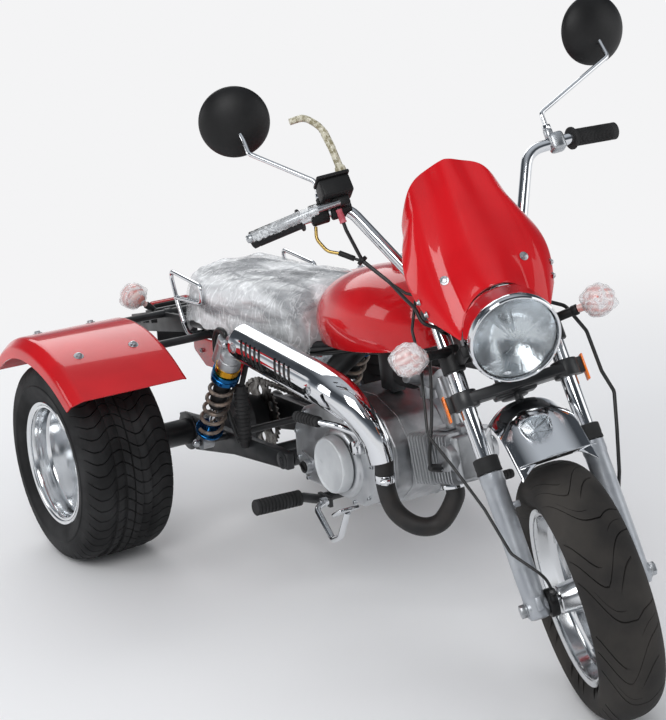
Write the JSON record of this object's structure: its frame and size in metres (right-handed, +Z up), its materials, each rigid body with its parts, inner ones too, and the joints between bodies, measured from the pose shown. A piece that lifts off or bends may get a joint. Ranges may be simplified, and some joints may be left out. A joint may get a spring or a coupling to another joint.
{
  "type": "motor trike",
  "caption": "Small motor trike: motorcycle front end, tank and open engine on a narrow frame, with wide rear wheels under separate fenders and an axle on a swingarm.",
  "frame": {"origin": "on the ground under the front tyre, where the straight-ahead front wheel touches it, on the frame's centre plane", "axes": "+Z up, -Y towards the front of the trike, +X to the rider's left"},
  "size_m": [1.0158, 1.8669, 1.2143],
  "materials": {
    "red_paint": "gloss",
    "black_paint": "satin",
    "black_plastic": "satin",
    "chrome": "polished",
    "cast_alloy": "satin",
    "rim_alloy": "polished",
    "slider_grey": "satin",
    "tyre": "matte",
    "rubber": "matte",
    "seat_cover": "satin",
    "lens": "clear",
    "indicator_lens": "gloss",
    "tail_lens": "gloss",
    "spring_steel": "satin",
    "exhaust_black": "matte",
    "chain_steel": "oiled"
  },
  "bodies": {
    "chassis": {"axle_housing": "black_paint", "brake_pedal": "chrome", "carburettor": "cast_alloy", "clutch_cover": "cast_alloy", "crankcase": "cast_alloy", "cylinder": "cast_alloy", "cylinder_head": "cast_alloy", "drive_chain": "chain_steel", "exhaust": "exhaust_black", "footpegs": "rubber", "frame": "black_paint", "fuel_tank": "red_paint", "gear_lever": "chrome", "grab_loops": "chrome", "heat_shield": "chrome", "kick_starter": "chrome", "rear_fender_left": "red_paint", "rear_fender_right": "red_paint", "rear_indicator_left": "indicator_lens", "rear_indicator_right": "indicator_lens", "seat": "seat_cover", "shock_left": "cast_alloy", "shock_right": "cast_alloy", "shock_spring_left": "spring_steel", "shock_spring_right": "spring_steel", "side_panels": "red_paint", "swingarm": "black_paint", "tail_bracket": "black_paint", "tail_lamp": "tail_lens", "tank_cap": "chrome"},
    "steering": {"fork_tube_right": "chrome", "fork_tube_left": "chrome", "fork_sliders": "slider_grey", "lower_yoke": "black_paint", "upper_yoke": "black_paint", "handlebar": "chrome", "grip_right": "rubber", "grip_left": "rubber", "brake_master_cylinder": "black_plastic", "mirror_right": "black_plastic", "mirror_left": "black_plastic", "headlight_shell": "chrome", "headlight_lens": "lens", "headlight_bracket": "black_plastic", "front_indicator_right": "indicator_lens", "front_indicator_left": "indicator_lens", "fly_screen": "red_paint", "front_mudguard": "chrome", "speedometer": "chrome", "control_cables": "black_plastic"},
    "front_wheel": {"front_tyre": "tyre", "front_rim": "rim_alloy"},
    "rear_wheel_right": {"rear_tyre_right": "tyre", "rear_rim_right": "rim_alloy"},
    "rear_wheel_left": {"rear_tyre_left": "tyre", "rear_rim_left": "rim_alloy"}
  },
  "joints": [
    {"name": "steering", "type": "hinge", "parent": "chassis", "child": "steering", "pos_m": [0, -0.092, 0], "axis": [0, 0.4939, 0.8695], "range_deg": [-12.6, 57.4]},
    {"name": "front_wheel_spin", "type": "hinge", "parent": "steering", "child": "front_wheel", "pos_m": [-0.01391, 0.00116, 0.2323], "axis": [0.9245, -0.3313, 0.1882], "continuous": true},
    {"name": "rear_wheel_right_spin", "type": "hinge", "parent": "chassis", "child": "rear_wheel_right", "pos_m": [-0.37, 1.338, 0.2295], "axis": [1, 0, 0], "continuous": true},
    {"name": "rear_wheel_left_spin", "type": "hinge", "parent": "chassis", "child": "rear_wheel_left", "pos_m": [0.37, 1.338, 0.2295], "axis": [1, 0, 0], "continuous": true}
  ]
}
